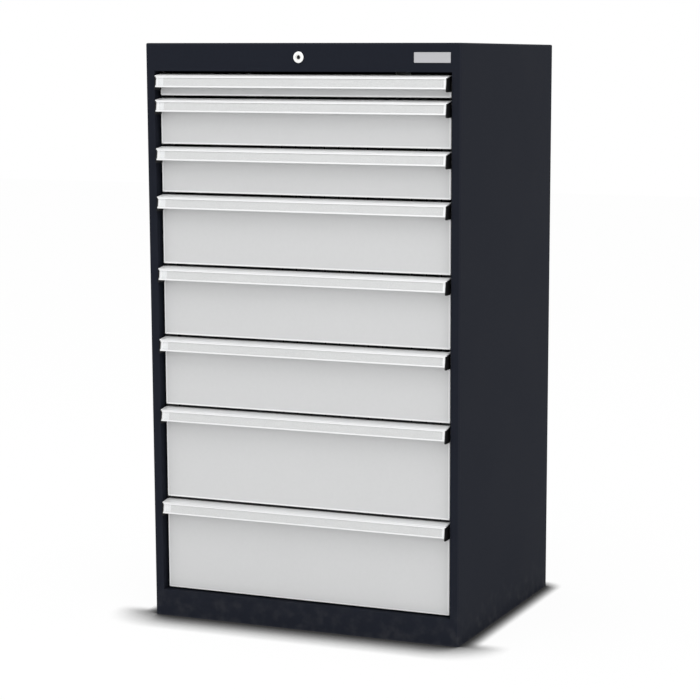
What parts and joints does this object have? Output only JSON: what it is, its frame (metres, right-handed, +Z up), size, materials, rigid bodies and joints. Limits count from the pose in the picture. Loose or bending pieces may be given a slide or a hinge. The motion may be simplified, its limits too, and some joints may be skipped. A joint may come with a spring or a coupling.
{
  "type": "drawer cabinet",
  "caption": "Tall lockable sheet-steel drawer cabinet with full-width handles, telescopic runners and a central key lock on a closed plinth.",
  "frame": {"origin": "on the floor, at the centre of the body's footprint and of its floor-bolt pattern", "axes": "+Z up, drawer fronts face -Y and drawers open along -Y, +X to the right seen from the front"},
  "size_m": [0.7, 0.5712, 1.2172],
  "materials": {
    "body_paint": "dark blue-grey powder coat, satin with a fine texture",
    "front_paint": "light grey powder coat, satin with a fine texture",
    "tray_paint": "light grey powder coat",
    "handle_aluminium": "matt silver anodised extrusion",
    "cap_plastic": "black moulded plastic",
    "zinc_steel": "bright zinc plate",
    "lock_nickel": "nickel plate, polished",
    "lock_core": "turned nickel-plated brass with a dark keyway"
  },
  "bodies": {
    "cabinet": {"side_panel_left": "body_paint", "side_panel_right": "body_paint", "top_panel": "body_paint", "back_panel": "body_paint", "base_panel": "body_paint", "slotted_uprights": "zinc_steel", "outer_rails": "zinc_steel", "lock_housing": "lock_nickel", "lock_brackets": "zinc_steel"},
    "key_works": {"lock_plug": "lock_core", "lock_shaft": "zinc_steel"},
    "lock_bar": {"lock_bar": "zinc_steel"},
    "drawer_1": {"drawer_1_front": "front_paint", "drawer_1_tray": "tray_paint", "drawer_1_handle": "handle_aluminium", "drawer_1_handle_caps": "cap_plastic", "drawer_1_inner_rails": "zinc_steel"},
    "runner_1": {"drawer_1_mid_rails": "zinc_steel"},
    "drawer_2": {"drawer_2_front": "front_paint", "drawer_2_tray": "tray_paint", "drawer_2_handle": "handle_aluminium", "drawer_2_handle_caps": "cap_plastic", "drawer_2_inner_rails": "zinc_steel"},
    "runner_2": {"drawer_2_mid_rails": "zinc_steel"},
    "drawer_3": {"drawer_3_front": "front_paint", "drawer_3_tray": "tray_paint", "drawer_3_handle": "handle_aluminium", "drawer_3_handle_caps": "cap_plastic", "drawer_3_inner_rails": "zinc_steel"},
    "runner_3": {"drawer_3_mid_rails": "zinc_steel"},
    "drawer_4": {"drawer_4_front": "front_paint", "drawer_4_tray": "tray_paint", "drawer_4_handle": "handle_aluminium", "drawer_4_handle_caps": "cap_plastic", "drawer_4_inner_rails": "zinc_steel"},
    "runner_4": {"drawer_4_mid_rails": "zinc_steel"},
    "drawer_5": {"drawer_5_front": "front_paint", "drawer_5_tray": "tray_paint", "drawer_5_handle": "handle_aluminium", "drawer_5_handle_caps": "cap_plastic", "drawer_5_inner_rails": "zinc_steel"},
    "runner_5": {"drawer_5_mid_rails": "zinc_steel"},
    "drawer_6": {"drawer_6_front": "front_paint", "drawer_6_tray": "tray_paint", "drawer_6_handle": "handle_aluminium", "drawer_6_handle_caps": "cap_plastic", "drawer_6_inner_rails": "zinc_steel"},
    "runner_6": {"drawer_6_mid_rails": "zinc_steel"},
    "drawer_7": {"drawer_7_front": "front_paint", "drawer_7_tray": "tray_paint", "drawer_7_handle": "handle_aluminium", "drawer_7_handle_caps": "cap_plastic", "drawer_7_inner_rails": "zinc_steel"},
    "runner_7": {"drawer_7_mid_rails": "zinc_steel"},
    "drawer_8": {"drawer_8_front": "front_paint", "drawer_8_tray": "tray_paint", "drawer_8_handle": "handle_aluminium", "drawer_8_handle_caps": "cap_plastic", "drawer_8_inner_rails": "zinc_steel"},
    "runner_8": {"drawer_8_mid_rails": "zinc_steel"}
  },
  "joints": [
    {"name": "key_turn", "type": "hinge", "parent": "cabinet", "child": "key_works", "pos_m": [0, 0, 1.18863], "axis": [0, 1, 0], "range_deg": [0, 90]},
    {"name": "lock_bar_lift", "type": "slide", "parent": "cabinet", "child": "lock_bar", "axis": [0, 0, 1], "range_m": [0, 0.01414]},
    {"name": "drawer_1_slide", "type": "slide", "parent": "cabinet", "child": "drawer_1", "axis": [0, -1, 0], "range_m": [0, 0.46]},
    {"name": "runner_1_slide", "type": "slide", "parent": "cabinet", "child": "runner_1", "axis": [0, -1, 0], "range_m": [0, 0.23]},
    {"name": "drawer_2_slide", "type": "slide", "parent": "cabinet", "child": "drawer_2", "axis": [0, -1, 0], "range_m": [0, 0.46]},
    {"name": "runner_2_slide", "type": "slide", "parent": "cabinet", "child": "runner_2", "axis": [0, -1, 0], "range_m": [0, 0.23]},
    {"name": "drawer_3_slide", "type": "slide", "parent": "cabinet", "child": "drawer_3", "axis": [0, -1, 0], "range_m": [0, 0.46]},
    {"name": "runner_3_slide", "type": "slide", "parent": "cabinet", "child": "runner_3", "axis": [0, -1, 0], "range_m": [0, 0.23]},
    {"name": "drawer_4_slide", "type": "slide", "parent": "cabinet", "child": "drawer_4", "axis": [0, -1, 0], "range_m": [0, 0.46]},
    {"name": "runner_4_slide", "type": "slide", "parent": "cabinet", "child": "runner_4", "axis": [0, -1, 0], "range_m": [0, 0.23]},
    {"name": "drawer_5_slide", "type": "slide", "parent": "cabinet", "child": "drawer_5", "axis": [0, -1, 0], "range_m": [0, 0.46]},
    {"name": "runner_5_slide", "type": "slide", "parent": "cabinet", "child": "runner_5", "axis": [0, -1, 0], "range_m": [0, 0.23]},
    {"name": "drawer_6_slide", "type": "slide", "parent": "cabinet", "child": "drawer_6", "axis": [0, -1, 0], "range_m": [0, 0.46]},
    {"name": "runner_6_slide", "type": "slide", "parent": "cabinet", "child": "runner_6", "axis": [0, -1, 0], "range_m": [0, 0.23]},
    {"name": "drawer_7_slide", "type": "slide", "parent": "cabinet", "child": "drawer_7", "axis": [0, -1, 0], "range_m": [0, 0.46]},
    {"name": "runner_7_slide", "type": "slide", "parent": "cabinet", "child": "runner_7", "axis": [0, -1, 0], "range_m": [0, 0.23]},
    {"name": "drawer_8_slide", "type": "slide", "parent": "cabinet", "child": "drawer_8", "axis": [0, -1, 0], "range_m": [0, 0.46]},
    {"name": "runner_8_slide", "type": "slide", "parent": "cabinet", "child": "runner_8", "axis": [0, -1, 0], "range_m": [0, 0.23]}
  ],
  "couplings": [
    {"joint": "key_turn", "follows": "lock_bar_lift", "rad_per_m": 111.07},
    {"joint": "runner_1_slide", "follows": "drawer_1_slide", "ratio": 0.5},
    {"joint": "runner_2_slide", "follows": "drawer_2_slide", "ratio": 0.5},
    {"joint": "runner_3_slide", "follows": "drawer_3_slide", "ratio": 0.5},
    {"joint": "runner_4_slide", "follows": "drawer_4_slide", "ratio": 0.5},
    {"joint": "runner_5_slide", "follows": "drawer_5_slide", "ratio": 0.5},
    {"joint": "runner_6_slide", "follows": "drawer_6_slide", "ratio": 0.5},
    {"joint": "runner_7_slide", "follows": "drawer_7_slide", "ratio": 0.5},
    {"joint": "runner_8_slide", "follows": "drawer_8_slide", "ratio": 0.5}
  ]
}
